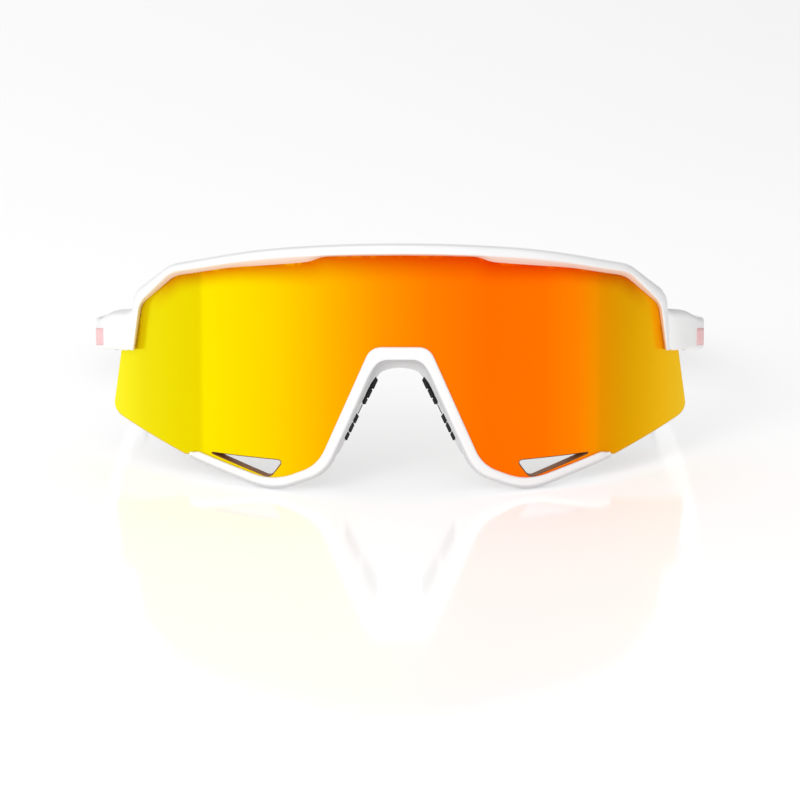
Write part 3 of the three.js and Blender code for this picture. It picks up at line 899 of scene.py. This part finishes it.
def pad_section(along):
    """Section of the pad, as (depth, height over its base), with rounded upper corners."""
    half = PAD_DEPTH / 2
    end = min(along, PAD_LENGTH - along)
    height = max(0.12, pad_height(along))
    if end < PAD_END:
        height *= sqrt(max(0.03, 1 - (1 - end / PAD_END) ** 2))
    radius = min(0.7, height * 0.7)
    angles = (0, 0.4, 0.8, 1.2, pi / 2)
    corner = [(half - radius * (1 - cos(a)), height - radius * (1 - sin(a))) for a in angles]
    ring = [(-half, 0.0)]
    ring += [(-depth, rise) for depth, rise in corner]
    ring += [(-half * 0.5, height + 0.04), (0, height + 0.06), (half * 0.5, height + 0.04)]
    ring += reversed(corner)
    return ring + [(half, 0.0)]


def make_pad(side):
    turn = Matrix.Rotation(-PAD_LEAN, 3, "Y") @ Matrix.Rotation(PAD_FLARE, 3, "Z")
    up_nose = turn @ Vector((0, 0, 1))
    off_wall = turn @ Vector((-1, 0, 0))
    into_face = turn @ Vector((0, 1, 0)) - up_nose * PAD_SLANT
    steps = 260
    sections = []
    for i in range(steps + 1):
        along = PAD_LENGTH * i / steps
        base = PAD_CENTRE + up_nose * (along - PAD_LENGTH / 2)
        section = pad_section(along)
        sections.append([tuple(base + into_face * depth + off_wall * rise) for depth, rise in section])
    mesh = loft("pad", side_points(side, sections))
    add_object(
        f"{side}_pad_visual", mesh, "front", RUBBER, [f"{side}_nose_pad"], sharp=60,
    )


# ---------------------------------------------------------------- temples

# Sizes along the temple, as (y, half width, half height).
ARM_SIZE = [
    (42.2, 2.12, 3.88), (60, 1.91, 3.8), (90, 1.75, 3.45), (115, 1.85, 3.25), (124, 1.75, 3.1),
]
SOCK_SIZE = [(112, 2.25, 3.6), (130, 2.45, 3.85), (155, 2.65, 4.4), (163, 2.6, 4.1)]
ARM_START_Y = 42.2
ARM_ROUNDING = 1.25
KNUCKLE_POCKET = (42.2, 47.0, 68.95)  # from y, to y, inner face x where the knuckles turn
LEAF_SEAT_END = 54.7


def arm_inner_x(y, plain):
    """Inner face of the arm: cleared for the knuckles, then a flat seat for the hinge leaf."""
    start, end, cleared = KNUCKLE_POCKET
    if y < end - 0.2:
        return cleared
    if y < LEAF_SEAT_END:
        return lerp(cleared, INNER_FACE_X + 0.05, ease(end - 0.2, end + 0.1, y))
    return lerp(INNER_FACE_X + 0.05, plain, ease(LEAF_SEAT_END, LEAF_SEAT_END + 3.0, y))


def make_arm(side):
    """The white arm, its front end broken and its rear end narrowed where the rubber covers it."""
    ys = [42.2, 42.22, 42.3, 42.45]
    ys += [43 + 0.5 * i for i in range(26)]
    ys += [56 + 1.2 * i for i in range(50)]
    ys += [116, 118, 120, 121.5, 122.5, 123, 123.2]
    sections = []
    for y in ys:
        centre = temple_centre(y)
        half_width, half_height = table_value(ARM_SIZE, y)
        pinch = 0.0
        if y < 42.45:
            pinch = 0.25 * (1 - (y - ARM_START_Y) / 0.25)
        if y > 116:
            pinch = 1.3 * ease(121, 123.4, y) + 0.25
        outer_x = centre.x + half_width - pinch
        inner_x = arm_inner_x(y, centre.x - half_width) + pinch
        low, high = centre.z - half_height + pinch, centre.z + half_height - pinch
        sections.append(rounded_box_section((outer_x, y), (inner_x, y), low, high, ARM_ROUNDING))
    mesh = loft("arm", side_points(side, sections))
    add_object(
        f"{side}_arm_visual", mesh, f"{side}_temple", WHITE, [f"{side}_temple_arm"],
        sharp=50,
    )


SOCK_START_Y = 115.3
SOCK_NOTCH = 7.0  # depth of the V in the rubber's front edge
GRIP_START_Y, GRIP_END_Y = 128, 152
GRIP_FADE = 3
GRIP_GROOVE = 0.16


def sock_ring(y, half_width, half_height, lip_shift):
    """One ring of the rubber tip; lip_shift pulls the ring's outer and inner sides backwards."""
    ring = []
    for across, up in superellipse(40, half_width, half_height, 0.6):
        depth = y + lip_shift * (1 - abs(up) / half_height) ** 1.5
        centre = temple_centre(depth)
        ring.append((centre.x + across, depth, centre.z + up))
    return ring


def grip_groove(y):
    """Depth of the grooves round the rubber tip at y."""
    if not GRIP_START_Y < y < GRIP_END_Y:
        return 0.0
    wave = ease(0.55, 0.95, abs(sin((y - GRIP_START_Y) * pi / 3)))
    fade_in = ease(GRIP_START_Y, GRIP_START_Y + GRIP_FADE, y)
    fade_out = 1 - ease(GRIP_END_Y - GRIP_FADE, GRIP_END_Y, y)
    return GRIP_GROOVE * wave * fade_in * fade_out


def make_sock(side):
    """The rubber tip: a rolled lip with a V notch, then the grooved body with a rounded end."""
    sections = []
    half_width, half_height = table_value(SOCK_SIZE, SOCK_START_Y)
    for grow, shift in ((-0.42, 0.3), (-0.2, 0.05), (0.0, 0.0), (0.12, 0.25)):
        sections.append(sock_ring(SOCK_START_Y + shift, half_width + grow, half_height + grow, SOCK_NOTCH))
    steps = 70
    for i in range(1, steps + 1):
        y = lerp(115.9, TIP_END_Y, i / steps)
        half_width, half_height = table_value(SOCK_SIZE, y)
        past = max(0.0, y - (TIP_END_Y - 5)) / 5
        round_off = sqrt(max(0.02, 1 - past ** 2))
        lip_shift = (1 - ease(0, 0.25, i / steps)) * SOCK_NOTCH
        width = half_width * round_off + 0.1 - grip_groove(y)
        sections.append(sock_ring(y, width, half_height * round_off, lip_shift))
    mesh = loft("sock", side_points(side, sections))
    for vertex in mesh.vertices:
        vertex.co.z = max(vertex.co.z, FLOOR_CLEARANCE)
    add_object(
        f"{side}_tip_visual", mesh, f"{side}_temple", RUBBER, [f"{side}_temple_tip"],
        sharp=60,
    )


MARK_PROUD = 0.02  # how far the prints stand off the plastic


def surface_patch(name, rows, body, side):
    """A thin printed patch: rows of points just proud of a surface, on one side of the glasses."""
    rows = side_points(side, rows)
    size = len(rows[0])
    points = [p for row in rows for p in row]
    faces = [
        (i * size + k, i * size + k + 1, (i + 1) * size + k + 1, (i + 1) * size + k)
        for i in range(len(rows) - 1) for k in range(size - 1)
    ]
    mesh = mesh_from(name, points, faces)
    obj = add_object(name, mesh, body, PRINT)
    thickness = obj.modifiers.new("thickness", "SOLIDIFY")
    thickness.thickness = 0.02 * MM
    thickness.offset = 0


def make_marks(side):
    """Plain pink bars: one round the corner of the end piece, one along the arm."""
    rows = []
    for i in range(13):
        t = lerp(4.1, 6.75, i / 12)
        ox, oy, ix, iy, low = station_values(END_PIECE_STATIONS, t)[:5]
        away = (Vector((ox, oy)) - Vector((ix, iy))).normalized() * MARK_PROUD
        rows.append([(ox + away.x, oy + away.y, low + lerp(1.05, 5.15, k / 4)) for k in range(5)])
    surface_patch(f"{side}_end_mark", rows, "front", side)
    rows = []
    for i in range(25):
        y = lerp(47.0, 71.0, i / 24)
        centre = temple_centre(y)
        half_width, _ = table_value(ARM_SIZE, y)
        x = centre.x + half_width + MARK_PROUD
        rows.append([(x, y, centre.z + lerp(-1.9, 1.5, k / 4)) for k in range(5)])
    surface_patch(f"{side}_arm_mark", rows, f"{side}_temple", side)


# ---------------------------------------------------------------- hinge hardware

def steel_finish(side):
    """The hinge leaves and screws are the CAD nodes, with their edges broken."""
    for part in ("frame_leaf", "frame_leaf_screw", "hinge_screw", "temple_leaf", "temple_leaf_screw"):
        node = frame["nodes"][f"{side}_{part}"]
        node.data.materials.clear()
        node.data.materials.append(STEEL)
        edge = node.modifiers.new("edge", "BEVEL")
        edge.width = 0.12 * MM
        edge.segments = 2
        edge.limit_method = "ANGLE"
        edge.angle_limit = radians(40)


make_lens()
make_lower_rim()
make_brow()
make_saddle()
for wearer_side in ("left", "right"):
    make_end_piece(wearer_side)
    make_pad(wearer_side)
    make_arm(wearer_side)
    make_sock(wearer_side)
    make_marks(wearer_side)
    steel_finish(wearer_side)


# ---------------------------------------------------------------- stage, lights, camera

FLOOR_GLOW = 0.27  # the floor is lit a little from within


def make_stage():
    mesh = bpy.data.meshes.new("floor")
    size = 3.0
    corners = [(-size, -size, 0), (size, -size, 0), (size, size, 0), (-size, size, 0)]
    mesh.from_pydata(corners, [], [(0, 1, 2, 3)])
    floor = bpy.data.objects.new("floor", mesh)
    bpy.context.scene.collection.objects.link(floor)
    material, nodes, links, shader = new_material("pale_floor")
    shade = noise(nodes, links, 3, 2)
    colour = ramp(nodes, links, shade.outputs[0], [(0.3, grey(0.87)), (0.7, grey(0.88))])
    links.new(colour.outputs[0], shader.inputs["Base Color"])
    shader.inputs["Roughness"].default_value = 0.1
    shader.inputs["Emission Color"].default_value = (1, 1, 1, 1)
    shader.inputs["Emission Strength"].default_value = FLOOR_GLOW
    mesh.materials.append(material)


def make_key_light():
    """One large soft light, from the front and the wearer's right."""
    light = bpy.data.lights.new("key", "AREA")
    light.shape = "RECTANGLE"
    light.size, light.size_y = 0.7, 0.7
    light.energy = 6.5
    obj = bpy.data.objects.new("key", light)
    bpy.context.scene.collection.objects.link(obj)
    obj.location = (-0.7, -1.3, 0.75)
    aim = Vector((0, 0, 0.03)) - Vector(obj.location)
    obj.rotation_euler = aim.to_track_quat("-Z", "Y").to_euler()


# Brightness of the studio; left and right are the wearer's.
SKY_RIGHT_SIDE = 0.88
SKY_LEFT_SIDE = 0.22
SKY_FRONT = 0.97
SKY_TOP = 0.88


def map_range(nodes, links, source, low, high, to_low=0.0, to_high=1.0):
    """A number going smoothly from to_low to to_high as the source goes from low to high."""
    node = nodes.new("ShaderNodeMapRange")
    node.interpolation_type = "SMOOTHSTEP"
    node.inputs["From Min"].default_value = low
    node.inputs["From Max"].default_value = high
    node.inputs["To Min"].default_value = to_low
    node.inputs["To Max"].default_value = to_high
    links.new(source, node.inputs["Value"])
    return node.outputs[0]


def mixed(nodes, links, factor, a, b):
    """A number going from a (a socket) to b (a number) with the factor."""
    node = nodes.new("ShaderNodeMix")
    node.inputs["B"].default_value = b
    links.new(factor, node.inputs["Factor"])
    links.new(a, node.inputs["A"])
    return node.outputs[0]


def make_world():
    """A soft studio all round: brightest in front, and dim at the wearer's left."""
    world = bpy.data.worlds.new("studio")
    bpy.context.scene.world = world
    world.use_nodes = True
    nodes, links = world.node_tree.nodes, world.node_tree.links
    direction = nodes.new("ShaderNodeTexCoord")
    split = nodes.new("ShaderNodeSeparateXYZ")
    links.new(direction.outputs["Generated"], split.inputs[0])
    strength = map_range(nodes, links, split.outputs["X"], -0.9, 0.9, SKY_RIGHT_SIDE, SKY_LEFT_SIDE)
    forward = map_range(nodes, links, split.outputs["Y"], -0.25, -0.45)
    strength = mixed(nodes, links, forward, strength, SKY_FRONT)
    upward = map_range(nodes, links, split.outputs["Z"], 0.35, 0.8)
    strength = mixed(nodes, links, upward, strength, SKY_TOP)
    nodes["Background"].inputs["Color"].default_value = (1, 1, 1, 1)
    links.new(strength, nodes["Background"].inputs["Strength"])


CAMERA_DISTANCE = 900 * MM
CAMERA_ELEVATION = radians(15)
CAMERA_FOCAL = 175.5
SENSOR_WIDTH = 36
RIM_CONTACT_Y = 5.84  # depth at which the rim stands on the floor
AIM_RISE = 20.77 * MM  # the camera looks this far above that place


def make_camera():
    camera = bpy.data.cameras.new("camera")
    camera.sensor_width = SENSOR_WIDTH
    camera.lens = CAMERA_FOCAL
    obj = bpy.data.objects.new("camera", camera)
    bpy.context.scene.collection.objects.link(obj)
    base = Vector((0, (RIM_CONTACT_Y + ROW_SHIFT) * MM, 0))
    back = Vector((0, -cos(CAMERA_ELEVATION), sin(CAMERA_ELEVATION)))
    obj.location = base + back * CAMERA_DISTANCE
    pitch = CAMERA_ELEVATION - atan2(AIM_RISE, CAMERA_DISTANCE)
    obj.rotation_euler = (pi / 2 - pitch, 0, 0)
    bpy.context.scene.camera = obj


make_stage()
make_world()
make_key_light()
make_camera()
bpy.context.scene.view_settings.view_transform = "Standard"
